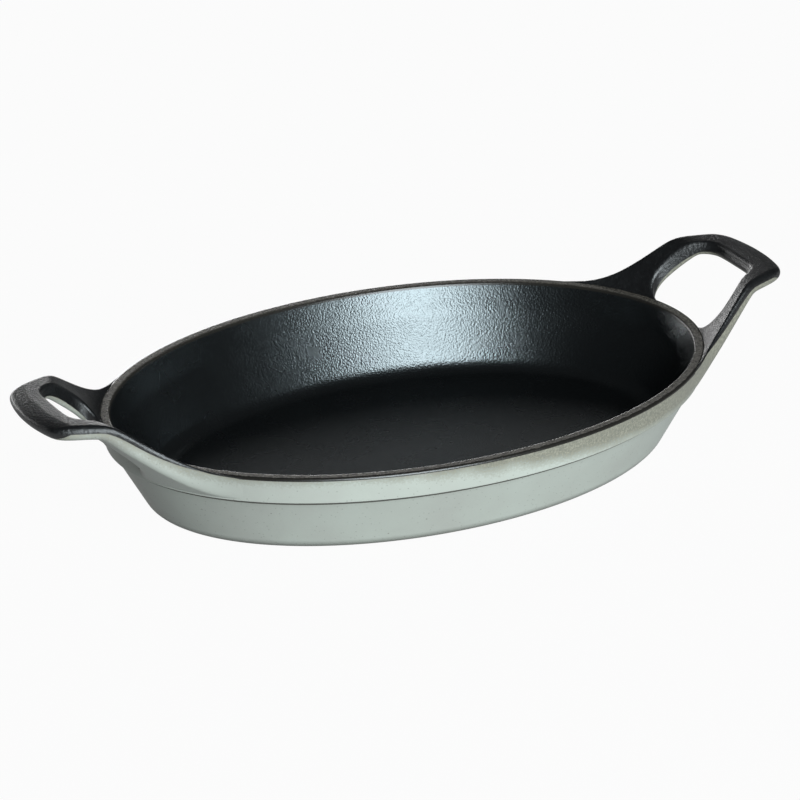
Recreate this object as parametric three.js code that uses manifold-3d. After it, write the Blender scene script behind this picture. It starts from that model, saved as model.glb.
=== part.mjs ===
// Oval cast iron baking dish with two raised loop handles.
// One iron casting carries fused enamel: a lining, a rim, an outside coat, a base coat and two handle tops.
// Millimetres, +Z up. The origin is the centre of the base, +X runs along the dish through both handles.
import * as THREE from "three";
import { mergeVertices } from "three/addons/utils/BufferGeometryUtils.js";
import Module from "manifold-3d";

// Bowl, measured over the enamel
const rimLength = 280;
const rimWidth = 199;
const rimHeight = 41;
const lipWidth = 4.8;
const lipRadius = 1;
const bandHeight = 12;
const bandTaper = 2.2;
const ledgeDepth = 2;
const ledgeDrop = 1;
const wallTaper = 30;
const wallThickness = 4.4;
const baseEdgeRadius = 8;
const floorThickness = 4.8;
const floorFilletRadius = 10;

// Handles, measured over the enamel
const handleReach = 41;
const handleRise = 21.3;
const handleThickness = 5.3;
const bendRadius = 2;
const rootFilletRadius = 3;
const rootHalfWidth = 50.5;
const tipHalfWidth = 24.5;
const sideHollow = 1.8;
const tipBow = 4;
const tipCornerRadius = 7;
const strandWidth = 11;
const gripWidth = 14.5;
const holeCornerRadius = 6;

// Enamel
const coat = 0.5;
const bond = 0.15;
const seam = 0.3;
const slack = 0.001;
const rimCoatDrop = 1;

// Facets
const ovalSteps = 64;
const arcSteps = 3;

const wasm = await Module();
wasm.setup();

const halfLength = rimLength / 2;
const halfWidth = rimWidth / 2;
const bandFoot = rimHeight - bandHeight;
const gripHeight = rimHeight + handleRise;
const clear = 10;
const point = (x, y) => new THREE.Vector2(x, y);

// A closed geometry as a solid that can be joined and cut.
function solidOf(geometry) {
  geometry.deleteAttribute("normal");
  geometry.deleteAttribute("uv");
  const merged = mergeVertices(geometry, 1e-4);
  const corners = merged.index.array;
  const kept = [];
  for (let i = 0; i < corners.length; i += 3) {
    const [a, b, c] = corners.slice(i, i + 3);
    if (a !== b && b !== c && c !== a) kept.push(a, b, c);
  }
  const vertProperties = new Float32Array(merged.attributes.position.array);
  const mesh = new wasm.Mesh({ numProp: 3, vertProperties, triVerts: new Uint32Array(kept) });
  return new wasm.Manifold(mesh);
}

// The arc that rounds one corner of a line, as a list of points.
function fillet(before, corner, after, radius) {
  const back = before.clone().sub(corner).normalize();
  const on = after.clone().sub(corner).normalize();
  const half = Math.acos(back.dot(on)) / 2;
  const centre = back.clone().add(on).normalize().multiplyScalar(radius / Math.sin(half)).add(corner);
  const start = back.multiplyScalar(radius / Math.tan(half)).add(corner).sub(centre);
  const end = on.multiplyScalar(radius / Math.tan(half)).add(corner).sub(centre);
  const sweep = Math.atan2(start.cross(end), start.dot(end));
  const spot = (i) => start.clone().rotateAround(point(0, 0), (sweep * i) / arcSteps).add(centre);
  return Array.from({ length: arcSteps + 1 }, (_, i) => spot(i));
}

// A line through corners given as [x, y, radius]; a corner without a radius stays sharp.
function rounded(corners) {
  const count = corners.length;
  const at = (i) => point(...corners[(i + count) % count].slice(0, 2));
  const turn = ([, , radius], i) => (radius ? fillet(at(i - 1), at(i), at(i + 1), radius) : [at(i)]);
  return corners.flatMap(turn);
}

// A line moved sideways to its right, with mitred corners.
function shifted(line, distance, closed) {
  const count = line.length;
  const side = (from, to) => point(to.y - from.y, from.x - to.x).normalize();
  return line.map((here, i) => {
    const sides = [];
    if (closed || i > 0) sides.push(side(line[(i + count - 1) % count], here));
    if (closed || i < count - 1) sides.push(side(here, line[(i + 1) % count]));
    const mitre = sides.reduce((sum, one) => sum.add(one), point(0, 0)).normalize();
    return here.clone().addScaledVector(mitre, distance / mitre.dot(sides[0]));
  });
}

// A profile of (distance outward from the rim's edge, height) carried round the oval.
function carried(profile, closed) {
  const line = profile.map((p) => point(Math.max(p.x + halfLength, 0), p.y));
  if (closed) line.push(line[0].clone());
  const geometry = new THREE.LatheGeometry(line, ovalSteps);
  geometry.rotateX(Math.PI / 2);
  const place = geometry.attributes.position;
  for (let i = 0; i < place.count; i++) {
    const radius = Math.hypot(place.getX(i), place.getY(i));
    const narrow = Math.max(radius - halfLength + halfWidth, radius * 0.2);
    if (radius > 0) place.setY(i, (place.getY(i) * narrow) / radius);
  }
  return solidOf(geometry);
}

// An upright prism over a plan outline, taller than the dish.
function prism(outline) {
  const depth = gripHeight + clear;
  return solidOf(new THREE.ExtrudeGeometry(new THREE.Shape(outline), { depth, bevelEnabled: false }));
}

// Bowl profile from the middle of the base, up the outside, over the lip and down to the middle of the floor
const slope = Math.tan(THREE.MathUtils.degToRad(wallTaper));
const skewThickness = wallThickness / Math.cos(THREE.MathUtils.degToRad(wallTaper));
const ledgeInset = bandTaper + ledgeDepth;
const baseInset = ledgeInset + (bandFoot - ledgeDrop) * slope;
const innerInset = ledgeInset + skewThickness;
const floorInset = innerInset + (bandFoot - floorThickness) * slope;
const baseFlatInset = baseInset + baseEdgeRadius * Math.tan(Math.PI / 4 - Math.atan(slope) / 2);
const bowlLine = rounded([
  [-halfLength, 0],
  [-baseInset, 0, baseEdgeRadius],
  [-ledgeInset, bandFoot - ledgeDrop],
  [-bandTaper, bandFoot],
  [0, rimHeight, lipRadius],
  [-lipWidth, rimHeight, lipRadius],
  [-innerInset, bandFoot],
  [-floorInset, floorThickness, floorFilletRadius],
  [-halfLength, floorThickness],
]);

// Handle profile: a plate that leaves the band at forty-five degrees and bends level for the grip
const rootDepth = lipWidth / 2;
const skewPlate = handleThickness * Math.SQRT2;
const underBend = handleRise + skewPlate - handleThickness;
const plateEnd = handleReach + clear;
const plateLine = rounded([
  [-rootDepth, rimHeight - skewPlate],
  [0, rimHeight - skewPlate, rootFilletRadius],
  [underBend, gripHeight - handleThickness, bendRadius],
  [plateEnd, gripHeight - handleThickness],
  [plateEnd, gripHeight],
  [handleRise, gripHeight, bendRadius + handleThickness],
  [0, rimHeight],
  [-rootDepth, rimHeight],
]);

// Handle plan on the +X end: the sides run straight from the rim to the bowed tip
const rimX = (y) => halfLength * Math.sqrt(1 - (y / halfWidth) ** 2);
const tipX = halfLength + handleReach;
const cornerX = tipX - tipBow;
const rootX = rimX(rootHalfWidth);
const along = (t) => THREE.MathUtils.lerp(rootX, cornerX, t);
const sideAt = (t) => THREE.MathUtils.lerp(rootHalfWidth, tipHalfWidth, t) - sideHollow * 4 * t * (1 - t);
const sideY = (x) => sideAt((x - rootX) / (cornerX - rootX));
const sideSteps = [0, 0.2, 0.4, 0.6];
const handlePlan = rounded([
  [rootX - clear, -rootHalfWidth],
  ...sideSteps.map((t) => [along(t), -sideAt(t)]),
  [cornerX, -tipHalfWidth, tipCornerRadius],
  [tipX, 0, tipHalfWidth * 2],
  [cornerX, tipHalfWidth, tipCornerRadius],
  ...sideSteps.map((t) => [along(t), sideAt(t)]).reverse(),
  [rootX - clear, rootHalfWidth],
]);

// Finger hole: from the rim's outer face to the grip, its sides beside those of the handle
const gripX = tipX - gripWidth;
const holeRootX = halfLength - rootDepth;
const holeRootY = sideY(holeRootX) - strandWidth;
const holeTipY = sideY(gripX) - strandWidth;
const holePlan = rounded([
  [rimX(holeRootY), -holeRootY, holeCornerRadius],
  [gripX, -holeTipY, holeCornerRadius],
  [gripX, holeTipY, holeCornerRadius],
  [rimX(holeRootY), holeRootY, holeCornerRadius],
  [holeRootX, 0],
]);

const mirrored = (solid) => solid.mirror([1, 0, 0]);

// The whole dish with its surface drawn in by a depth.
function dish(depth) {
  const bowl = carried(shifted(bowlLine, -depth, false), false);
  const plate = carried(shifted(plateLine, -depth, true), true);
  const plan = prism(shifted(handlePlan, -depth, true));
  const hole = prism(shifted(holePlan, depth, true));
  const handle = plate.intersect(plan).subtract(hole);
  return bowl.add(handle).add(mirrored(handle));
}

// Zones of the enamel, each grown by a margin
const sky = gripHeight + clear;
function liningZone(top) {
  const middle = wallThickness / 2;
  const zone = [
    point(-halfLength, floorThickness / 2),
    point(-floorInset + middle, floorThickness / 2),
    point(-innerInset + middle, bandFoot),
    point(-lipWidth / 2, rimHeight - rimCoatDrop - seam),
    point(-lipWidth / 2, top),
    point(-halfLength, top),
  ];
  return carried(zone, false);
}

function rimZone(margin) {
  const zone = [
    point(-lipWidth - clear, rimHeight - rimCoatDrop - margin),
    point(margin, rimHeight - rimCoatDrop - margin),
    point(margin, sky),
    point(-lipWidth - clear, sky),
  ];
  return carried(zone, true);
}

function handleTopZone(margin) {
  const zone = [
    point(0, rimHeight - skewPlate / 2),
    point((handleRise + underBend) / 2, gripHeight - handleThickness / 2),
    point(plateEnd, gripHeight - handleThickness / 2),
    point(plateEnd, sky),
    point(0, sky),
  ];
  return carried(shifted(zone, margin, true), true);
}

function baseZone(margin) {
  const edge = -baseFlatInset + margin;
  const zone = [
    point(-halfLength, -clear),
    point(edge, -clear),
    point(edge, coat * 2),
    point(-halfLength, coat * 2),
  ];
  return carried(zone, false);
}

const handleEnd = prism([
  point(0, -rimWidth),
  point(tipX + clear, -rimWidth),
  point(tipX + clear, rimWidth),
  point(0, rimWidth),
]);
const biggest = (solid) => solid.decompose().sort((a, b) => b.volume() - a.volume())[0];
const largest = (solid) => biggest(biggest(solid).simplify(slack));

const finished = dish(0);
const iron = dish(coat + bond);
const enamel = finished.subtract(dish(coat));
const handleTops = enamel.intersect(handleTopZone(-seam)).subtract(rimZone(seam));
const outside = enamel
  .subtract(liningZone(sky))
  .subtract(rimZone(seam))
  .subtract(handleTopZone(0))
  .subtract(baseZone(seam));
const lining = enamel.intersect(liningZone(rimHeight - rimCoatDrop - seam));
const rightTop = largest(handleTops.intersect(handleEnd));

// A named piece with its own material.
function piece(name, solid, color, roughness, metalness) {
  const { vertProperties, triVerts, numProp } = solid.getMesh();
  const place = new Float32Array((vertProperties.length / numProp) * 3);
  for (let i = 0; i < place.length; i++) place[i] = vertProperties[Math.floor(i / 3) * numProp + (i % 3)];
  const geometry = new THREE.BufferGeometry();
  geometry.setAttribute("position", new THREE.BufferAttribute(place, 3));
  geometry.setIndex(new THREE.BufferAttribute(new Uint32Array(triVerts), 1));
  geometry.computeVertexNormals();
  const mesh = new THREE.Mesh(geometry, new THREE.MeshStandardMaterial({ color, roughness, metalness }));
  mesh.name = name;
  return mesh;
}

const group = new THREE.Group();
group.name = "oval_baking_dish";
group.add(piece("iron_casting", largest(iron), 0x3a3a3c, 0.7, 0.8));
group.add(piece("interior_enamel", largest(lining), 0x1c1d20, 0.55, 0));
group.add(piece("rim_enamel", largest(enamel.intersect(rimZone(0))), 0x6b625b, 0.6, 0));
group.add(piece("exterior_enamel", largest(outside), 0xc4c6c0, 0.25, 0));
group.add(piece("base_enamel", largest(enamel.intersect(baseZone(0))), 0xb4b6b0, 0.35, 0));
group.add(piece("left_handle_enamel", mirrored(rightTop), 0x202124, 0.45, 0));
group.add(piece("right_handle_enamel", rightTop, 0x202124, 0.45, 0));

export default group;
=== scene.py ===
# %% [markdown]
# # Oval cast iron baking dish
# The dish is one grey iron casting: an oval bowl with a thick band round its rim and a loop handle at each
# end. Glass enamel is fused over all of it: matt black inside, satin black on the handle tops, grey outside.
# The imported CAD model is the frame. Each coat of enamel is drawn again here as a fine shell in its place.

import math

import bmesh
import bpy
import numpy as np
from mathutils import Matrix


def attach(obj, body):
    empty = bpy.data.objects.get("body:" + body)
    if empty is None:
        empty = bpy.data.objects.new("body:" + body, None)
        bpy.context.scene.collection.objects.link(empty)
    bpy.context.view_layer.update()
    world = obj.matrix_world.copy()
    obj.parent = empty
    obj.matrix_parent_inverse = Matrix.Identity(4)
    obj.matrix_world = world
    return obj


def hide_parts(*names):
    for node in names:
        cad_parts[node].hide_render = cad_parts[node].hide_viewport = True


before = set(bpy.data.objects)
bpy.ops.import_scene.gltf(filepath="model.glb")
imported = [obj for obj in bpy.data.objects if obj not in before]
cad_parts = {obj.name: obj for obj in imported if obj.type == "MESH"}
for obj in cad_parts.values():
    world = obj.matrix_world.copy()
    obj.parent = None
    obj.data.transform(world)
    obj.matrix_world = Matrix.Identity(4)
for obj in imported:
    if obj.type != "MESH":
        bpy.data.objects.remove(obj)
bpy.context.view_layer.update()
MM = 0.001
print("CAD nodes:", sorted(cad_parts))

# %% [markdown]
# ## Sizes
# All sizes are in millimetres and measured over the enamel. They follow the CAD model to a millimetre or two.
# A place on the dish is given by two numbers: how far it lies outside the edge of the rim, and its height.
# That suits an oval casting, because its band, ledge and wall run at a constant distance from the rim.

# %% Sizes of the bowl
HALF_LENGTH = 140.0
HALF_WIDTH = 99.5
RIM_HEIGHT = 41.0
LIP_WIDTH = 4.8
LIP_RADIUS = 1.3
BAND_HEIGHT = 12.0
BAND_TAPER = 2.2  # how far the foot of the band lies inside the rim's edge
LEDGE_DEPTH = 2.0
LEDGE_DROP = 1.0
WALL_TAPER = math.radians(29)
WALL = 4.4
FLOOR = 4.8
COAT = 0.4

BAND_FOOT = RIM_HEIGHT - BAND_HEIGHT
LEDGE_INSET = BAND_TAPER + LEDGE_DEPTH
BASE_INSET = LEDGE_INSET + (BAND_FOOT - LEDGE_DROP) * math.tan(WALL_TAPER)
INNER_INSET = LEDGE_INSET + WALL / math.cos(WALL_TAPER)
FLOOR_INSET = INNER_INSET + (BAND_FOOT - FLOOR) * math.tan(WALL_TAPER)
print(f"rim {2 * HALF_LENGTH:.0f} x {2 * HALF_WIDTH:.0f} mm")
print(f"base {2 * (HALF_LENGTH - BASE_INSET):.0f} mm long before its edge is rounded")

# %% [markdown]
# ## Profiles with rounded corners
# A casting has no sharp edges: sand can't hold them, and enamel pulls away from them.
# A bevel modifier could round a coarse mesh, but its width would have to be set edge by edge.
# So a profile is written as a few corners with a radius each. One function turns every corner into a fine arc
# and cuts the straight runs into short steps, so that a shell made from it shades smoothly.


# %% Rounded corners
def corner_arc(before, place, after, radius, steps=10):
    """Points of the arc that rounds the corner at a place between two others."""
    back = (before - place) / np.linalg.norm(before - place)
    on = (after - place) / np.linalg.norm(after - place)
    half = math.acos(np.clip(back @ on, -1, 1)) / 2
    centre = place + (back + on) / np.linalg.norm(back + on) * radius / math.sin(half)
    start = place + back * radius / math.tan(half) - centre
    end = place + on * radius / math.tan(half) - centre
    sweep = math.atan2(start[0] * end[1] - start[1] * end[0], start @ end)
    aside = np.array([-start[1], start[0]])
    turns = np.linspace(0, sweep, steps + 1)
    return [centre + math.cos(turn) * start + math.sin(turn) * aside for turn in turns]


def rounded(corners, step):
    """Points along a line of (x, y, radius) corners, with arcs at the corners and even steps between them."""
    places = [np.array(corner[:2], float) for corner in corners]
    line = []
    for i, corner in enumerate(corners):
        if corner[2]:
            line += corner_arc(places[i - 1], places[i], places[i + 1], corner[2])
        else:
            line.append(places[i])
    fine = [line[0]]
    for place in line[1:]:
        pieces = max(1, math.ceil(np.linalg.norm(place - fine[-1]) / step))
        fine += list(np.linspace(fine[-1], place, pieces + 1)[1:])
    return np.array(fine)


print("points on a square corner of 1 mm:", len(rounded([(0, 0, 0), (2, 0, 1), (2, 2, 0)], 1)))

# %% Profiles of the bowl
LIP_LEAN = 0.45
LIP_ROUNDING = 0.95 * LIP_RADIUS
BAND_TOP_INSET = 0.02
BAND_FOOT_DROP = 0.2
BAND_FOOT_ROUNDING = 0.45
LEDGE_ROUNDING = 0.3
BASE_EDGE_RADIUS = 6.5
BASE_RUN = 8
INNER_BEND_RADIUS = 30.0
FLOOR_FILLET = 10.0
FLOOR_RUN = 12

band_top = (-BAND_TOP_INSET, RIM_HEIGHT - LIP_RADIUS, 0)
lip_foot = (-LIP_WIDTH - LIP_LEAN, RIM_HEIGHT - LIP_RADIUS, 0)
outside_line = rounded(
    [
        (-BASE_INSET - BASE_RUN, 0, 0),
        (-BASE_INSET, 0, BASE_EDGE_RADIUS),
        (-LEDGE_INSET, BAND_FOOT - LEDGE_DROP, LEDGE_ROUNDING),
        (-BAND_TAPER, BAND_FOOT - BAND_FOOT_DROP, BAND_FOOT_ROUNDING),
        band_top,
    ],
    step=1.2,
)
rim_line = rounded(
    [band_top, (0, RIM_HEIGHT, LIP_ROUNDING), (-LIP_WIDTH, RIM_HEIGHT, LIP_ROUNDING), lip_foot],
    step=0.3,
)
lining_line = rounded(
    [
        lip_foot,
        (-INNER_INSET, BAND_FOOT, INNER_BEND_RADIUS),
        (-FLOOR_INSET, FLOOR, FLOOR_FILLET),
        (-FLOOR_INSET - FLOOR_RUN, FLOOR, 0),
    ],
    step=1.2,
)
print("points on the outside, rim and lining:", len(outside_line), len(rim_line), len(lining_line))

# %% [markdown]
# ## From a profile to a coat
# A lathe, or Blender's screw modifier, only turns circles. So each point of the profile is carried round its
# own oval: both half axes shrink by the same inset, so the band and the wall stay about as wide all round.
# Every coat then gets a real thickness, so that it is a closed shell and not a paper-thin sheet.

# %% Ovals
AROUND = 360
DISC_ROWS = 40
angles = np.linspace(0, 2 * math.pi, AROUND, endpoint=False)


def on_oval(out, angle):
    """Plan place of a point that lies out millimetres outside the rim's edge, at an angle of the oval."""
    return np.stack([(HALF_LENGTH + out) * np.cos(angle), (HALF_WIDTH + out) * np.sin(angle)], -1)


def carried(line):
    """A profile carried round the oval: a grid of points, profile by angle."""
    plan = on_oval(line[:, :1], angles[None, :])
    heights = np.repeat(line[:, 1:2], AROUND, 1)
    return np.concatenate([plan, heights[..., None]], -1)


def disc(edge_out, height, up):
    """A flat oval floor inside an inset: rows that shrink to the middle, facing up or down."""
    share = np.linspace(1, 0, DISC_ROWS)[:, None, None]
    plan = on_oval(np.array([[edge_out]]), angles[None, :]) * share
    rows = np.concatenate([plan, np.full(plan.shape[:2] + (1,), height)], -1)
    return rows if up else rows[::-1]


print("a step round the rim:", round(2 * math.pi * HALF_LENGTH / AROUND, 1), "mm at most")

# %% Faces, borders and normals of a grid
NO_LENGTH = 1e-12


def quads_of(rows, cols, wraps):
    """Point numbers of a grid's four-sided faces. A grid that wraps closes on itself along its rows."""
    here = np.arange(cols if wraps else cols - 1)
    first = np.arange(rows - 1)[:, None] * cols
    a = (first + here).ravel()
    b = (first + (here + 1) % cols).ravel()
    return np.stack([a, b, b + cols, a + cols], 1)


def border_of(rows, cols, wraps):
    """Pairs of point numbers along a grid's open border."""
    first_row = np.arange(cols)
    last_row = (rows - 1) * cols + np.arange(cols)[::-1]
    last_column = np.arange(2, rows) * cols - 1
    first_column = np.arange(rows - 2, 0, -1) * cols
    loops = [first_row, last_row]
    if not wraps:
        loops = [np.concatenate([first_row, last_column, last_row, first_column])]
    return np.concatenate([np.stack([loop, np.roll(loop, -1)], 1) for loop in loops])


def outward(points, quads):
    """The direction in which the surface faces at each point: the mean of the faces round it."""
    across = np.cross(points[quads[:, 2]] - points[quads[:, 0]], points[quads[:, 3]] - points[quads[:, 1]])
    normals = np.zeros_like(points)
    for corner in range(4):
        np.add.at(normals, quads[:, corner], across)
    lengths = np.linalg.norm(normals, axis=1, keepdims=True)
    return normals / np.maximum(lengths, NO_LENGTH)


print("border of a 4 x 5 grid:", len(border_of(4, 5, False)), "edges")

# %% Closed shells
WELD_GAP = 1e-4
CREASE = math.radians(50)


def as_object(name, points, faces, notes):
    """A smooth mesh object with its points welded. Each point keeps its note, a number for the finish."""
    mesh = bpy.data.meshes.new(name)
    mesh.from_pydata(points * MM, [], faces.tolist())
    mesh.attributes.new("edge", "FLOAT", "POINT").data.foreach_set("value", notes.astype(np.float32))
    weld = bmesh.new()
    weld.from_mesh(mesh)
    bmesh.ops.remove_doubles(weld, verts=weld.verts, dist=WELD_GAP * MM)
    weld.to_mesh(mesh)
    weld.free()
    mesh.validate()
    mesh.shade_smooth()
    mesh.set_sharp_from_angle(angle=CREASE)
    piece = bpy.data.objects.new(name, mesh)
    bpy.context.collection.objects.link(piece)
    print(f"{name}: {len(mesh.polygons)} faces")
    return piece


def shell(name, parts, thickness):
    """An object from (grid of points in millimetres, note of each point, whether it wraps) parts.
    A thickness makes a closed shell of each part. Without one, the parts are closed bodies already."""
    points, faces, notes = [], [], []
    for grid, note, wraps in parts:
        start = sum(len(layer) for layer in points)
        skin = grid.reshape(-1, 3)
        quads = quads_of(*grid.shape[:2], wraps)
        points.append(skin)
        notes.append(note.ravel())
        faces.append(quads + start)
        if thickness:
            a, b = border_of(*grid.shape[:2], wraps).T
            count = len(skin)
            points.append(skin - outward(skin, quads) * thickness)
            notes.append(note.ravel())
            faces.append(quads[:, ::-1] + count + start)
            faces.append(np.stack([b, a, a + count, b + count], 1) + start)
    return as_object(name, np.concatenate(points), np.concatenate(faces), np.concatenate(notes))


def plain(grid):
    """A note of zero for every point of a grid."""
    return np.zeros(grid.shape[:2])


# %% [markdown]
# ## The lining, the rim and the base
# The lining is the black coat that food touches: the wall, a fillet to the floor, and the floor itself.
# The rim is the flat top of the lip, where the black and the grey coats meet.
# The base is the flat grey face that the dish stands on.
# They could be one mesh with several finishes. Separate shells match the pieces of the CAD model one to one.
# Each point carries a note for its finish. On the rim it is the distance in from the edge.
# On the base it goes on from the wall's note, so that the painted shade of the foot fades out under the dish.

# %% Coats of the bowl
PLAIN_GREY_NOTE = 30

lining_grid = np.concatenate([carried(lining_line), disc(lining_line[-1, 0], FLOOR, True)[1:]])
lining = shell("black_lining", [(lining_grid, plain(lining_grid), True)], COAT)

rim_grid = carried(rim_line)
rim_note = np.repeat(-rim_line[:, :1], AROUND, 1)
rim = shell("speckled_rim", [(rim_grid, rim_note, True)], COAT)

base_edge = outside_line[0, 0]
base_grid = disc(base_edge, 0.0, False)
base_inward = np.linspace(0, HALF_WIDTH + base_edge, DISC_ROWS)[::-1]
base_note = np.repeat(np.maximum(RIM_HEIGHT - base_inward, PLAIN_GREY_NOTE)[:, None], AROUND, 1)
base = shell("grey_base", [(base_grid, base_note, True)], COAT)

# %% [markdown]
# ## The handles in plan
# Each handle is a flat strap that leaves the rim at about forty-five degrees, bends level and comes back.
# It could be modelled face by face. But its height depends almost only on the distance from the rim,
# so it is enough to draw its two edges in plan, with a smooth curve through a few points of each.
# The points go in pairs, outer edge and finger hole, from the rim to the middle of the grip.
# At the rim the outer edge runs into the band and the hole's edge runs along it, so the root flares.

# %% Plan of a handle
OUTER_EDGE = [(102.1, 67.7), (114.2, 57.6), (126.5, 47.5), (140, 40), (155, 33.5), (167.5, 28.8)]
OUTER_EDGE += [(175, 24.8), (178.4, 19), (180.4, 8), (180.8, 0)]
HOLE_EDGE = [(138, 11), (137.5, 19.5), (140.5, 26.5), (148, 27), (157, 23), (163, 19)]
HOLE_EDGE += [(165.4, 15.7), (166.4, 12), (166.7, 5), (166.7, 0)]
STATIONS = 130


def smooth_curve(points, count):
    """A natural cubic spline through plan points, with its own points spread evenly over their numbers."""
    points = np.array(points, float)
    n = len(points)
    rows = np.eye(n) * 4 + np.eye(n, k=1) + np.eye(n, k=-1)
    rows[0, 0] = 2
    rows[-1, -1] = 2
    after = np.clip(np.arange(n) + 1, 0, n - 1)
    before = np.clip(np.arange(n) - 1, 0, n - 1)
    slopes = np.linalg.solve(rows, 3 * (points[after] - points[before]))
    at = np.linspace(0, n - 1, count)
    i = np.minimum(at.astype(int), n - 2)
    t = (at - i)[:, None]
    ahead = t**2 * (3 - 2 * t)
    leaving = t * (1 - t) ** 2
    arriving = t**2 * (t - 1)
    return (1 - ahead) * points[i] + ahead * points[i + 1] + leaving * slopes[i] + arriving * slopes[i + 1]


def both_halves(points):
    """A smooth curve from one root to the other, through points on the +Y side and their mirror images."""
    mirrored = [(x, -y) for x, y in points[-2::-1]]
    return smooth_curve(points + mirrored, 2 * STATIONS - 1)


outer_curve = both_halves(OUTER_EDGE)
hole_curve = both_halves(HOLE_EDGE)
strap_width = np.linalg.norm(outer_curve - hole_curve, axis=1)
print(f"grip {strap_width[STATIONS - 1]:.1f} mm wide, narrowest strand {strap_width.min():.1f} mm")

# %% Distance of a plan point from the rim
SEARCH_REACH = 60.0
HALVINGS = 50


def off_oval(plan):
    """How far plan points lie outside the rim's edge, and their angle of the oval, found by halving."""
    low = np.full(len(plan), -SEARCH_REACH)
    high = np.full(len(plan), SEARCH_REACH)
    for _ in range(HALVINGS):
        middle = (low + high) / 2
        inside = (plan[:, 0] / (HALF_LENGTH + middle)) ** 2 + (plan[:, 1] / (HALF_WIDTH + middle)) ** 2 < 1
        low = np.where(inside, low, middle)
        high = np.where(inside, middle, high)
    out = (low + high) / 2
    return out, np.arctan2(plan[:, 1] / (HALF_WIDTH + out), plan[:, 0] / (HALF_LENGTH + out))


outer_out, outer_angle = off_oval(outer_curve)
hole_out, hole_angle = off_oval(hole_curve)
print(f"the grip reaches {outer_out.max():.1f} mm beyond the rim")

# %% [markdown]
# ## Heights of the strap
# Seen from the side, the strap's upper face is a ramp that bends into a grip, which slopes a little outwards.
# The lower face runs a plate's thickness under it, and swells where it reaches the band:
# iron needs that to flow into the handle and to carry the load.
# Each face is the lower of two lines, ramp and level, with a soft bend between them.

# %% Heights of the strap
HANDLE_RISE = 22.1
HANDLE_PLATE = 6.0
UPPER_SLOPE = 1.12
UPPER_START = -0.28
ROOT_BEND = 0.8
UPPER_BEND = 3.6
UPPER_LIFT = 0.45
GRIP_START = 33
GRIP_FALL = 0.13
GRIP_FALL_POWER = 1.35
LOWER_SLOPE = 1.06
LOWER_BEND = 1.6
LOWER_LIFT = 0.3
SWELLING = 2.6
SWELLING_REACH = 3.2
LEAST_ABOVE_FOOT = 0.7


def soft_lower(first, second, bend):
    """The lower of two heights, with a soft bend where they cross."""
    return (first + second) / 2 - np.sqrt((first - second) ** 2 + bend**2) / 2


def top_height(out):
    """Height of the strap's upper face at a distance outside the rim."""
    ramp = UPPER_SLOPE * (out + np.sqrt(out**2 + ROOT_BEND**2)) / 2 + UPPER_START
    level = HANDLE_RISE - GRIP_FALL * np.maximum(out - GRIP_START, 0) ** GRIP_FALL_POWER
    return RIM_HEIGHT + soft_lower(ramp, level, UPPER_BEND) + UPPER_LIFT


def under_height(out):
    """Height of the strap's lower face at a distance outside the rim."""
    swelling = SWELLING * np.exp(-np.maximum(out, 0) / SWELLING_REACH)
    ramp = LOWER_SLOPE * out - HANDLE_PLATE * math.sqrt(2) - swelling
    height = RIM_HEIGHT + soft_lower(ramp, HANDLE_RISE - HANDLE_PLATE, LOWER_BEND) + LOWER_LIFT
    return np.maximum(height, BAND_FOOT + LEAST_ABOVE_FOOT)


grip_place = np.array(float(GRIP_START))
print(f"grip from {under_height(grip_place):.1f} to {top_height(grip_place):.1f} mm above the table")

# %% [markdown]
# ## The strap's section
# The section is a flat plate with rounded edges: full ones below, soft ones above the strands
# and crisper ones at the grip. The hole's side leans, so that the pattern could be drawn out of the sand.
# A bevelled box would give one radius everywhere, so the section is written out as one turn round it.

# %% Section of the strap
STRAND_RADIUS = 2.8
TIP_RADIUS = 1.2
HOLE_RADIUS = 1.5
UNDER_RADIUS = 3.0
DRAFT = 0.25
HOLE_LEAN = 0.9
arc = np.radians(np.linspace(0, 90, 14))
flat = np.linspace(0, 1, 24)


def edge_arc(radius, inset):
    """A rounded edge from its side to its face: distances in from the side, and distances from the face."""
    return DRAFT + inset + radius * (1 - np.cos(arc)), radius * (1 - np.sin(arc))


def section_loop(width, inset, outer_radius):
    """One turn round the section, from the middle of its lower face over the outer edge and back:
    shares across the strap, distances from a face, and whether that face is the upper one."""
    under, under_gap = edge_arc(UNDER_RADIUS, inset)
    outer, outer_gap = edge_arc(outer_radius, inset)
    hole, hole_gap = edge_arc(HOLE_RADIUS, inset)
    lower_start = under[-1] + (width / 2 - under[-1]) * (1 - flat[:-1])
    upper_face = outer[-1] + (width - hole[-1] - outer[-1]) * flat[1:-1]
    lower_end = width / 2 + (width / 2 + HOLE_LEAN - under[-1]) * (1 - flat[1:])
    runs = [
        (lower_start, np.zeros_like(lower_start), False),
        (under[::-1], under_gap[::-1], False),
        (outer, outer_gap, True),
        (upper_face, np.zeros_like(upper_face), True),
        (width - hole[::-1], hole_gap[::-1], True),
        (width + HOLE_LEAN - under, under_gap, False),
        (lower_end, np.zeros_like(lower_end), False),
    ]
    share = np.concatenate([across for across, gap, above in runs]) / width
    gaps = np.concatenate([gap for across, gap, above in runs])
    hangs = np.concatenate([np.full(len(across), above) for across, gap, above in runs])
    return share, gaps, hangs


print("points round the section:", len(section_loop(strap_width.min(), 0.0, STRAND_RADIUS)[0]))

# %% [markdown]
# ## Along the strap
# The black coat ends on the sides of the strap, where it was brushed off before firing, so its edge wavers.
# The wavering is a sum of a few slow waves, not random numbers, so it comes out alike each time.
# Near its two ends the outer edge dips and tucks in, so that it dies into the band without a step.

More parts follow.
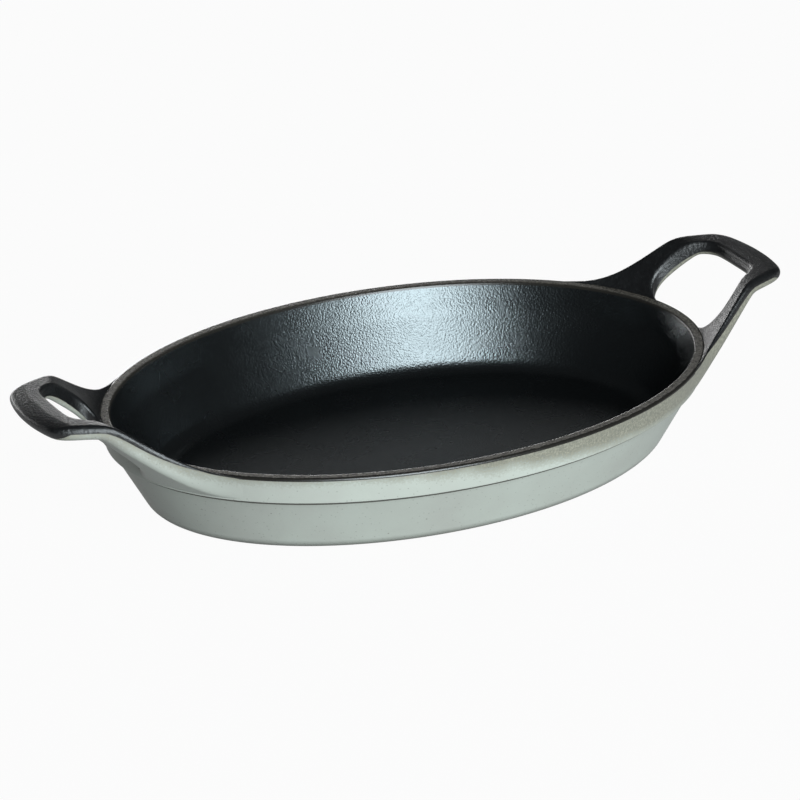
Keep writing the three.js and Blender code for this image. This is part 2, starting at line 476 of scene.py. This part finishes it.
# %% Values along the strap
# The seam's height on a side of the strap is a share of the strap's thickness.
WAVE_COUNTS = (3, 5, 8, 13, 21)
WAVER = 0.03
OUTER_WAVE_SEED = 1.7
HOLE_WAVE_SEED = 4.1
OUTER_SEAM = 0.55
OUTER_SEAM_ROOT_RISE = 0.5
OUTER_SEAM_TIP_FALL = 0.4
OUTER_SEAM_TOP = 0.96
HOLE_SEAM = 0.34
ROOT_REACH = 7.0
TIP_START = 35  # distance from the rim
TIP_RUN = 5
DIP = 1.3
DIP_RUN = 32
TUCK = 0.3
TUCK_RUN = 16


def slow_wave(steps, seed):
    """A smooth wavering line of about -1 to 1, with no repeat along a handle."""
    at = 2 * math.pi * np.arange(steps) / steps
    return sum(math.sin(seed + k) * np.sin(k * at + seed * k) / k**0.5 for k in WAVE_COUNTS) / 2


near_root = np.exp(-np.maximum(outer_out, 0) / ROOT_REACH)
near_tip = np.clip((outer_out - TIP_START) / TIP_RUN, 0, 1)
outer_seam = OUTER_SEAM + OUTER_SEAM_ROOT_RISE * near_root - OUTER_SEAM_TIP_FALL * near_tip
outer_seam = np.minimum(outer_seam, OUTER_SEAM_TOP)
outer_seam += WAVER * slow_wave(len(outer_seam), OUTER_WAVE_SEED)
hole_seam = HOLE_SEAM + WAVER * slow_wave(len(outer_seam), HOLE_WAVE_SEED)
edge_radius = STRAND_RADIUS + (TIP_RADIUS - STRAND_RADIUS) * near_tip

walked = np.concatenate([[0], np.cumsum(np.linalg.norm(np.diff(outer_curve, axis=0), axis=1))])
from_end = np.minimum(walked, walked[-1] - walked)
dip = DIP * np.clip(1 - from_end / DIP_RUN, 0, 1)
tuck = TUCK * np.clip(1 - from_end / TUCK_RUN, 0, 1) ** 2
print(f"outer edge of a handle: {walked[-1]:.0f} mm")

# %% Faces of the strap
UPPER_POINTS = 52
LOWER_POINTS = 40
SINK_REACH = 5.0
NOTE_LIMIT = 11


def section_at(i, inset):
    """The section at a station: its points, the way round it, and where the black coat starts and ends."""
    width = strap_width[i]
    share, gaps, hangs = section_loop(width, inset, edge_radius[i])
    out = outer_out[i] * (1 - share) + hole_out[i] * share
    angle = outer_angle[i] * (1 - share) + hole_angle[i] * share
    top = top_height(out) - inset
    under = under_height(out) + inset
    height = np.where(hangs, top - gaps, under + gaps)
    way = np.concatenate([[0], np.cumsum(np.hypot(np.diff(share * width), np.diff(height)))])
    level = (height - under) / (top - under)
    half = len(share) // 2
    start = np.interp(outer_seam[i], level[:half], way[:half])
    end = np.interp(-hole_seam[i], -level[half:], way[half:])
    below_rim = np.clip((RIM_HEIGHT - height) / BAND_HEIGHT, 0, 1)
    sink = BAND_TAPER * below_rim * np.exp(-np.maximum(out, 0) / SINK_REACH)
    lowered = height - dip[i] * np.clip((height - BAND_FOOT) / BAND_HEIGHT, 0, 1)
    return np.column_stack([on_oval(out - sink - tuck[i], angle), lowered]), way, start, end


def strap(inset):
    """The upper and the lower face of the +X handle as parts of a shell, drawn in by an inset.
    The note of a point is its distance from the seam between the two."""
    upper_rows, lower_rows = [], []
    for i in range(len(strap_width)):
        places, way, start, end = section_at(i, inset)
        over = np.linspace(start, end, UPPER_POINTS)
        below = np.linspace(end, start + way[-1], LOWER_POINTS)
        for rows, at in ((upper_rows, over), (lower_rows, below)):
            spots = [np.interp(at % way[-1], way, column) for column in places.T]
            from_seam = np.minimum(np.minimum(at - at[0], at[-1] - at), NOTE_LIMIT)
            rows.append(np.stack(spots + [from_seam], 1)[::-1])
    return [(np.array(rows)[..., :3], np.array(rows)[..., 3], False) for rows in (upper_rows, lower_rows)]


def other_end(grid, note, wraps):
    """The same part on the -X end: turned half way round, so that it faces out as before."""
    return grid * [-1, -1, 1], note, wraps


upper, lower = strap(0.0)
right_top = shell("right_handle_black_top", [upper], COAT)
left_top = shell("left_handle_black_top", [other_end(*upper)], COAT)

# %% [markdown]
# ## The grey outside and the iron
# One grey coat covers the band, the wall under it and the lower faces of both handles, so they are one piece.
# Its note on the bowl is the distance down from the rim.
# The iron is drawn too, though enamel hides all of it: the same profile and straps, drawn in by the coat
# and a small gap. It is made of closed bodies, with half the points, because none of it shows.

# %% Grey coat
outside_grid = carried(outside_line)
outside_note = RIM_HEIGHT - outside_grid[..., 2]
outside = shell("grey_outside", [(outside_grid, outside_note, True), lower, other_end(*lower)], COAT)

# %% Iron core
IRON_GAP = 0.2
IRON_DEPTH = COAT + IRON_GAP

body_line = np.concatenate([outside_line, rim_line[1:], lining_line[1:]])
forward = np.gradient(body_line, axis=0)
forward /= np.linalg.norm(forward, axis=1, keepdims=True)
iron_line = body_line + np.column_stack([-forward[:, 1], forward[:, 0]]) * IRON_DEPTH
iron_base = disc(iron_line[0, 0], IRON_DEPTH, False)
iron_floor = disc(iron_line[-1, 0], FLOOR - IRON_DEPTH, True)
iron_body = np.concatenate([iron_base[:-1], carried(iron_line), iron_floor[1:]])[:, ::2]

iron_upper, iron_lower = strap(IRON_DEPTH)
loops = np.concatenate([iron_upper[0][::2, :-1], iron_lower[0][::2, :-1]], 1)
caps = np.repeat(loops[[0, -1]].mean(1, keepdims=True), loops.shape[1], 1)
iron_strap = np.concatenate([caps[:1], loops, caps[1:]])
iron_handle = (iron_strap, plain(iron_strap), True)
iron = shell("iron_core", [(iron_body, plain(iron_body), True), iron_handle, other_end(*iron_handle)], 0)

# %% What each piece stands for
STANDS_FOR = {
    iron: ("iron_casting", "cast_iron"),
    lining: ("interior_enamel", "black_enamel"),
    rim: ("rim_enamel", "rim_enamel"),
    outside: ("exterior_enamel", "grey_enamel"),
    base: ("base_enamel", "grey_enamel"),
    left_top: ("left_handle_enamel", "black_enamel"),
    right_top: ("right_handle_enamel", "black_enamel"),
}
for piece, (node_name, slot_name) in STANDS_FOR.items():
    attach(piece, "root")
    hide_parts(node_name)
print("pieces:", [piece.name for piece in STANDS_FOR])

# %% [markdown]
# ## Finishes
# Enamel is ground glass, dusted or sprayed on and fired until it melts. Clear glass has an index of about
# 1.5, and the metal oxides in dark enamels raise that to between 1.55 and 1.65.
# A photograph could be laid over the shapes, but it would bring its own light and stop at what it shows.
# So all patterns are worked out in millimetres on the object itself, and stay put from every side.


# %% Helpers for finishes
def linear(code):
    """An sRGB hex colour as linear RGBA."""
    parts = [int(code[i : i + 2], 16) / 255 for i in (1, 3, 5)]
    return [c / 12.92 if c <= 0.04045 else ((c + 0.055) / 1.055) ** 2.4 for c in parts] + [1.0]


def wire(tree, node, inputs):
    """Sets inputs of a node: each to a value, or to the socket that feeds it."""
    for key, value in inputs.items():
        if isinstance(value, bpy.types.NodeSocket):
            tree.links.new(value, node.inputs[key])
        else:
            node.inputs[key].default_value = value


def add(tree, kind, inputs=None, stops=(), **settings):
    """A new node with its settings and inputs, and the (place, hex colour) stops of a colour ramp."""
    node = tree.nodes.new(kind)
    for key, value in settings.items():
        setattr(node, key, value)
    wire(tree, node, inputs or {})
    for number, (place, code) in enumerate(stops):
        elements = node.color_ramp.elements
        if number == len(elements):
            elements.new(place)
        elements[number].position = place
        elements[number].color = linear(code)
    return node


def per_mm(size):
    """Texture scale for a pattern whose marks are about this many millimetres across."""
    return 1 / (size * MM)


def new_finish(name):
    """A material with its tree, its shader and the object's own coordinates."""
    material = bpy.data.materials.new(name)
    material.use_nodes = True
    tree = material.node_tree
    place = add(tree, "ShaderNodeTexCoord").outputs["Object"]
    return material, tree, tree.nodes["Principled BSDF"], place


# Numbers of the sockets of a colour mix: its share, its two colours and what comes out.
SHARE = 0
COLOUR = 6
OVER = 7
MIXED = 2
print("mid grey is", round(linear("#808080")[0], 3), "in linear light")

# %% [markdown]
# ### Matt black enamel
# The black coat of the lining is loaded with fine grit and fires matt. Each grain tilts the surface a little,
# so a highlight breaks up into bright and dark specks, while the colour itself is nearly even.
# Noise alone gives soft lumps and a Voronoi pattern alone gives cells, so the two are added up to grains.
# Real grit is about a tenth of a millimetre. That is too fine to show, so it is drawn 0.75 to 0.9 mm across.

# %% Matt black enamel, fired with grit
# To the eye: near black, with a broad, cool, grainy sheen.
black_matt, tree, shader, place = new_finish("Matt black enamel, fired with grit")
grain = add(
    tree,
    "ShaderNodeTexNoise",
    {"Vector": place, "Scale": per_mm(0.75), "Detail": 2, "Roughness": 0.6},
)
grit = add(tree, "ShaderNodeTexVoronoi", {"Vector": place, "Scale": per_mm(0.9), "Randomness": 1.0})
cloud = add(tree, "ShaderNodeTexNoise", {"Vector": place, "Scale": per_mm(22), "Detail": 3})
black = add(
    tree,
    "ShaderNodeValToRGB",
    {"Fac": grain.outputs["Fac"]},
    stops=[(0.35, "#060607"), (0.62, "#090a0a"), (0.75, "#0f1011")],
)
rough = add(
    tree,
    "ShaderNodeMapRange",
    {"Value": cloud.outputs["Fac"], "From Min": 0.3, "From Max": 0.7, "To Min": 0.25, "To Max": 0.29},
)
heap = add(tree, "ShaderNodeMath", {0: grain.outputs["Fac"], 1: grit.outputs["Distance"]}, operation="ADD")
relief = add(tree, "ShaderNodeBump", {"Height": heap.outputs[0], "Strength": 0.55, "Distance": 0.16 * MM})
wire(tree, shader, {"Base Color": black.outputs["Color"], "Roughness": rough.outputs["Result"]})
wire(tree, shader, {"Normal": relief.outputs["Normal"], "IOR": 1.65})
wire(tree, shader, {"Specular IOR Level": 0.9, "Specular Tint": linear("#e4f0f4")})
print("made:", black_matt.name)

# %% [markdown]
# ### Satin black enamel on the handles
# The same black, thinner on the handle tops. Along its edges the coat drew back while it was molten,
# so a thin brown-grey line of ground coat shows there, uneven in width. It could be painted by hand,
# but the note of each point says how far the edge is, and noise makes the line uneven by rule.
# Its grain is finer than a pixel too, and is drawn 1.2 mm across.

# %% Satin black enamel, thin at the edges
# To the eye: black with a soft, slightly cloudy sheen and a worn brown edge.
black_satin, tree, shader, place = new_finish("Satin black enamel, thin at the edges")
from_edge = add(tree, "ShaderNodeAttribute", attribute_name="edge").outputs["Fac"]
grain = add(
    tree,
    "ShaderNodeTexNoise",
    {"Vector": place, "Scale": per_mm(1.2), "Detail": 3, "Roughness": 0.62},
)
patch = add(
    tree,
    "ShaderNodeTexNoise",
    {"Vector": place, "Scale": per_mm(4.0), "Detail": 4, "Roughness": 0.6},
)
black = add(
    tree,
    "ShaderNodeValToRGB",
    {"Fac": grain.outputs["Fac"]},
    stops=[(0.35, "#0a0a0b"), (0.6, "#101112"), (0.78, "#1c1e1f")],
)
drawn = add(tree, "ShaderNodeMath", {0: patch.outputs["Fac"], 1: 1.1}, operation="MULTIPLY")
bare = add(tree, "ShaderNodeMath", {0: drawn.outputs[0], 1: from_edge}, operation="SUBTRACT")
worn = add(
    tree,
    "ShaderNodeMapRange",
    {"Value": bare.outputs[0], "From Min": 0.3, "From Max": 0.6, "To Max": 0.7},
)
coat = add(
    tree,
    "ShaderNodeMix",
    {SHARE: worn.outputs[0], COLOUR: black.outputs["Color"], OVER: linear("#3f3a35")},
    data_type="RGBA",
)
rough = add(
    tree,
    "ShaderNodeMapRange",
    {"Value": patch.outputs["Fac"], "From Min": 0.3, "From Max": 0.7, "To Min": 0.34, "To Max": 0.44},
)
relief = add(tree, "ShaderNodeBump", {"Height": grain.outputs["Fac"], "Strength": 0.8, "Distance": 0.35 * MM})
wire(tree, shader, {"Base Color": coat.outputs[MIXED], "Roughness": rough.outputs["Result"]})
wire(tree, shader, {"Normal": relief.outputs["Normal"], "IOR": 1.65})
print("made:", black_satin.name)

# %% [markdown]
# ### Speckled rim
# On the lip the black coat is rubbed thin before firing, so the taupe ground coat shows through in specks.
# At the outer edge the grey coat was wiped off, which leaves a thin, ragged dark line.
# Specks could be scattered as geometry, but at this size noise through a colour ramp looks the same.
# They are drawn 0.9 mm across, a little coarser than real ones, so that they show.

# %% Taupe ground coat enamel, wiped thin on the lip
# To the eye: a brown-grey line all round the dish that glints here and there.
taupe, tree, shader, place = new_finish("Taupe ground coat enamel, wiped thin")
inset = add(tree, "ShaderNodeAttribute", attribute_name="edge").outputs["Fac"]
speck = add(
    tree,
    "ShaderNodeTexNoise",
    {"Vector": place, "Scale": per_mm(0.9), "Detail": 4, "Roughness": 0.65},
)
patch = add(tree, "ShaderNodeTexNoise", {"Vector": place, "Scale": per_mm(3.5), "Detail": 4})
brown = add(
    tree,
    "ShaderNodeValToRGB",
    {"Fac": speck.outputs["Fac"]},
    stops=[(0.3, "#2b2825"), (0.52, "#544f49"), (0.75, "#807a70")],
)
ragged = add(tree, "ShaderNodeMath", {0: patch.outputs["Fac"], 1: 1.7}, operation="MULTIPLY")
inward = add(tree, "ShaderNodeMath", {0: inset, 1: ragged.outputs[0]}, operation="SUBTRACT")
beyond = add(tree, "ShaderNodeMapRange", {"Value": inward.outputs[0], "From Min": 0.1, "From Max": 0.5})
before = add(
    tree,
    "ShaderNodeMapRange",
    {"Value": inset, "From Min": 4.0, "From Max": 4.9, "To Min": 1.0, "To Max": 0.0},
)
shown = add(tree, "ShaderNodeMath", {0: beyond.outputs[0], 1: before.outputs[0]}, operation="MULTIPLY")
coat = add(
    tree,
    "ShaderNodeMix",
    {SHARE: shown.outputs[0], COLOUR: linear("#211f1c"), OVER: brown.outputs["Color"]},
    data_type="RGBA",
)
relief = add(tree, "ShaderNodeBump", {"Height": speck.outputs["Fac"], "Strength": 0.4, "Distance": 0.2 * MM})
wire(tree, shader, {"Base Color": coat.outputs[MIXED], "Normal": relief.outputs["Normal"]})
wire(tree, shader, {"Roughness": 0.24, "IOR": 1.55})
print("made:", taupe.name)

# %% [markdown]
# ### Pale grey enamel
# A pale grey with a breath of green, sprayed on and fired to a satin gloss. Near the upper edge the coat is
# thin, and the brown ground coat shows through it in specks, more and more towards the +X end of the dish.
# The brown share is also painted shade: it darkens the band against the wall, and that end, where less light
# falls.
# Under the band a thin dark line is painted shadow, where the band's overhang shades the wall.
# Small flecks and pits are where gas left the iron. The foot is painted darker as shade, where the rounded
# base edge turns from the light. The note is the distance down from the rim, so these follow the oval.
# Each mark is mixed over the grey by itself, so that one can be changed without the others.
# The brown specks are drawn 0.9 mm across and the flecks about 2 mm apart, because finer ones would be lost.

# %% Pale grey enamel: the brown share
# To the eye: a clean pale grey, freckled with warm brown along its upper edge.
grey_gloss, tree, shader, place = new_finish("Pale grey enamel, sprayed and fired glossy")
down = add(tree, "ShaderNodeAttribute", attribute_name="edge").outputs["Fac"]
dust = add(tree, "ShaderNodeTexNoise", {"Vector": place, "Scale": per_mm(0.9), "Detail": 3})
drift = add(tree, "ShaderNodeTexNoise", {"Vector": place, "Scale": per_mm(14), "Detail": 3})
along = add(tree, "ShaderNodeSeparateXYZ", {"Vector": place})
# Real brown and painted shade: the brown reaches further down towards +X, darkening that end.
brown_and_shade_reach = add(
    tree,
    "ShaderNodeMapRange",
    {"Value": along.outputs["X"], "From Min": -60 * MM, "From Max": 80 * MM, "To Min": 1.8, "To Max": 14.0},
)
lobes = add(tree, "ShaderNodeMath", {0: drift.outputs["Fac"], 1: 6.0, 2: -3.0}, operation="MULTIPLY_ADD")
specks = add(tree, "ShaderNodeMath", {0: dust.outputs["Fac"], 1: 9.0, 2: -4.5}, operation="MULTIPLY_ADD")
sway = add(tree, "ShaderNodeMath", {0: specks.outputs[0], 1: lobes.outputs[0]}, operation="ADD")
swayed = add(tree, "ShaderNodeMath", {0: brown_and_shade_reach.outputs[0], 1: sway.outputs[0]}, operation="ADD")
kept_above = add(tree, "ShaderNodeMath", {0: swayed.outputs[0], 1: 12.6}, operation="MINIMUM")
depth = add(tree, "ShaderNodeMath", {0: kept_above.outputs[0], 1: down}, operation="SUBTRACT")
# The brown share: real ground coat showing through, and painted shade that darkens the band.
thin = add(
    tree,
    "ShaderNodeMapRange",
    {"Value": depth.outputs[0], "From Min": -2.5, "From Max": 3.5, "To Max": 0.75},
)
print("made:", grey_gloss.name)

# %% Pale grey enamel: colours and relief
cloud = add(tree, "ShaderNodeTexNoise", {"Vector": place, "Scale": per_mm(40), "Detail": 3, "Roughness": 0.5})
ripple = add(tree, "ShaderNodeTexNoise", {"Vector": place, "Scale": per_mm(3.2), "Detail": 2})
pits = add(tree, "ShaderNodeTexVoronoi", {"Vector": place, "Scale": per_mm(7.5), "Randomness": 1.0})
grit = add(tree, "ShaderNodeTexVoronoi", {"Vector": place, "Scale": per_mm(2.2), "Randomness": 1.0})
grey = add(
    tree,
    "ShaderNodeValToRGB",
    {"Fac": cloud.outputs["Fac"]},
    stops=[(0.3, "#b1b2aa"), (0.5, "#b6b9b0"), (0.7, "#bbbfb6")],
)
brown = add(
    tree,
    "ShaderNodeValToRGB",
    {"Fac": dust.outputs["Fac"]},
    stops=[(0.36, "#5d584b"), (0.52, "#77715f"), (0.66, "#928c7a")],
)
# Painted shadow: a thin dark line just under the band, where its overhang shades the wall.
ledge_shadow_line = add(tree, "ShaderNodeMath", {0: down, 1: 13.35, 2: 0.65}, operation="COMPARE")
pit = add(
    tree,
    "ShaderNodeMapRange",
    {"Value": pits.outputs["Distance"], "From Min": 0.03, "From Max": 0.06, "To Min": 0.7, "To Max": 0.0},
)
fleck = add(
    tree,
    "ShaderNodeMapRange",
    {"Value": grit.outputs["Distance"], "From Min": 0.05, "From Max": 0.16, "To Min": 0.6, "To Max": 0.0},
)
# Painted shade: darker towards the foot, where the rounded base edge turns away from the light.
foot_shade = add(tree, "ShaderNodeMapRange", {"Value": down, "From Min": 36.2, "From Max": 40.0, "To Max": 0.8})
coat = grey.outputs["Color"]
for share, colour in (
    (thin, brown.outputs["Color"]),
    (ledge_shadow_line, linear("#5a5952")),
    (pit, linear("#6b665e")),
    (fleck, linear("#6f6c63")),
    (foot_shade, linear("#55564f")),
):
    sockets = {SHARE: share.outputs[0], COLOUR: coat, OVER: colour}
    coat = add(tree, "ShaderNodeMix", sockets, data_type="RGBA").outputs[MIXED]
wavy = add(tree, "ShaderNodeBump", {"Height": ripple.outputs["Fac"], "Strength": 0.25, "Distance": 0.25 * MM})
relief = add(tree, "ShaderNodeBump", {"Height": dust.outputs["Fac"], "Strength": 0.12, "Distance": 0.15 * MM})
wire(tree, relief, {"Normal": wavy.outputs["Normal"]})
wire(tree, shader, {"Base Color": coat, "Normal": relief.outputs["Normal"]})
wire(tree, shader, {"Roughness": 0.36, "Specular IOR Level": 0.3})
print("layers over the grey: brown, ledge line, pits, flecks, foot")

# %% [markdown]
# ### Grey cast iron
# The iron has the grain of the sand it was poured in. Enamel hides it, so it shows where a coat is taken off.
# Moulding sand is about 0.2 mm, and is drawn 0.6 mm across so that it shows.

# %% Grey cast iron, poured in sand
# To the eye: a dull, dark, sandy metal.
cast_iron, tree, shader, place = new_finish("Grey cast iron, poured in sand")
sand = add(tree, "ShaderNodeTexNoise", {"Vector": place, "Scale": per_mm(0.6), "Detail": 4})
metal = add(
    tree,
    "ShaderNodeValToRGB",
    {"Fac": sand.outputs["Fac"]},
    stops=[(0.3, "#2c2c2e"), (0.7, "#4a4a4c")],
)
relief = add(tree, "ShaderNodeBump", {"Height": sand.outputs["Fac"], "Strength": 0.6, "Distance": 0.2 * MM})
wire(tree, shader, {"Base Color": metal.outputs["Color"], "Normal": relief.outputs["Normal"]})
wire(tree, shader, {"Metallic": 1.0, "Roughness": 0.65})
print("made:", cast_iron.name)

# %% Each piece gets its finish
FINISHES = {
    iron: cast_iron,
    lining: black_matt,
    rim: taupe,
    outside: grey_gloss,
    base: grey_gloss,
    left_top: black_satin,
    right_top: black_satin,
}
for piece, finish in FINISHES.items():
    piece.data.materials.append(finish)
print("finishes:", sorted({finish.name for finish in FINISHES.values()}))

# %% [markdown]
# ## Floor
# The floor is white paper. A long lens looks down at it, so it fills the whole picture and is the background.
# More light would make it white too, but would also wash out the dish. So the camera sees it almost white,
# while the lamps light it as a mid grey that keeps the dish's shadow. In the enamel's mirror it is dimmer,
# because real paper is only as bright as the lamps make it.

# %% White paper floor
FLOOR_HALF = 20
FLOOR_GAP = 0.2 * MM
SEEN_WHITE = 0.96
MIRRORED_WHITE = 0.35

corners = [(-1, -1), (1, -1), (1, 1), (-1, 1)]
floor_mesh = bpy.data.meshes.new("paper_floor")
floor_mesh.from_pydata([(x * FLOOR_HALF, y * FLOOR_HALF, -FLOOR_GAP) for x, y in corners], [], [(0, 1, 2, 3)])
floor = bpy.data.objects.new("paper_floor", floor_mesh)
bpy.context.collection.objects.link(floor)

paper = bpy.data.materials.new("White paper")
paper.use_nodes = True
tree = paper.node_tree
shader = tree.nodes["Principled BSDF"]
wire(tree, shader, {"Base Color": linear("#868686"), "Roughness": 0.9})
path = add(tree, "ShaderNodeLightPath").outputs
seen = add(
    tree,
    "ShaderNodeMath",
    {0: path["Is Camera Ray"], 1: path["Is Transmission Ray"]},
    operation="MAXIMUM",
)
seen_white = add(tree, "ShaderNodeMath", {0: seen.outputs[0], 1: SEEN_WHITE}, operation="MULTIPLY")
mirrored = add(tree, "ShaderNodeMath", {0: path["Is Glossy Ray"], 1: MIRRORED_WHITE}, operation="MULTIPLY")
white = add(tree, "ShaderNodeMath", {0: seen_white.outputs[0], 1: mirrored.outputs[0]}, operation="MAXIMUM")
glow = add(tree, "ShaderNodeEmission", {"Color": linear("#ffffff"), "Strength": 1.0})
blend = add(tree, "ShaderNodeMixShader", {0: white.outputs[0], 1: shader.outputs[0], 2: glow.outputs[0]})
wire(tree, tree.nodes["Material Output"], {"Surface": blend.outputs[0]})
floor_mesh.materials.append(paper)
print(f"floor: {2 * FLOOR_HALF} m of white paper")

# %% [markdown]
# ## Light
# One large soft lamp stands in front of the dish. The far wall mirrors it towards the camera,
# which gives the broad sheen in the middle of the lining.
# A low strip behind lights the back of the dish, and a faint lamp gives the lining's floor a trace of sheen.
# A picture of a studio could light the scene too, but plain lamps can be moved one at a time.


# %% Lamps and world
def standing(right, up, back, place):
    """The matrix of a lamp or a camera at a place, which looks away from back."""
    axes = np.stack([right, up, back], 1)
    return Matrix([[*row, at] for row, at in zip(axes, place)] + [[0, 0, 0, 1]])


def soft_lamp(name, towards, distance, width, height, watts, colour):
    """A soft rectangular lamp at a distance from the dish, facing it."""
    lamp = bpy.data.lights.new(name, "AREA")
    lamp.shape = "RECTANGLE"
    lamp.size = width
    lamp.size_y = height
    lamp.energy = watts
    lamp.color = linear(colour)[:3]
    back = np.array(towards) / np.linalg.norm(towards)
    right = np.cross([0, 0, 1], back)
    right /= np.linalg.norm(right)
    holder = bpy.data.objects.new(name, lamp)
    holder.matrix_world = standing(right, np.cross(back, right), back, back * distance)
    bpy.context.collection.objects.link(holder)
    print(f"{name}: {watts} W at {distance} m")


soft_lamp("front_softbox", (-0.05, -0.91, 0.42), 2.2, 1.2, 1.8, 88, "#e8f2f6")
soft_lamp("low_back_strip", (0.0, 1.0, 0.09), 2.2, 2.4, 0.3, 20, "#ffffff")
soft_lamp("floor_sheen", (0.45, 0.8, 0.5), 2.4, 1.2, 0.8, 0.8, "#ffffff")

world = bpy.context.scene.world or bpy.data.worlds.new("Studio")
bpy.context.scene.world = world
world.use_nodes = True
sky = world.node_tree.nodes["Background"]
wire(world.node_tree, sky, {"Color": linear("#e9eef2"), "Strength": 0.04})

# %% [markdown]
# ## Camera
# The camera was fitted to the rim, the band, the base and both handles: a long lens, a little above the dish,
# turned so that the left end comes forward, and tilted by about a degree.
# It could be set by eye, but a lens this long hardly shows depth, so small errors would go unseen.

# %% Camera
AZIMUTH = math.radians(-27.06)
ELEVATION = math.radians(23.43)
ROLL = math.radians(-1.35)
TARGET = np.array([-2.89, 0, 29.37]) * MM
DISTANCE = 2.329

back = np.array(
    [
        math.sin(AZIMUTH) * math.cos(ELEVATION),
        -math.cos(AZIMUTH) * math.cos(ELEVATION),
        math.sin(ELEVATION),
    ]
)
level_right = np.array([math.cos(AZIMUTH), math.sin(AZIMUTH), 0])
level_up = np.cross(back, level_right)
right = math.cos(ROLL) * level_right + math.sin(ROLL) * level_up
up = math.cos(ROLL) * level_up - math.sin(ROLL) * level_right
eye = TARGET + back * DISTANCE

camera = bpy.data.cameras.new("camera")
camera.sensor_width = 36
camera.lens = 239.9
camera.clip_end = 100
viewer = bpy.data.objects.new("camera", camera)
viewer.matrix_world = standing(right, up, back, eye)
bpy.context.collection.objects.link(viewer)
bpy.context.scene.camera = viewer
bpy.context.scene.view_settings.view_transform = "Standard"
print("camera at", [round(float(v), 3) for v in eye])
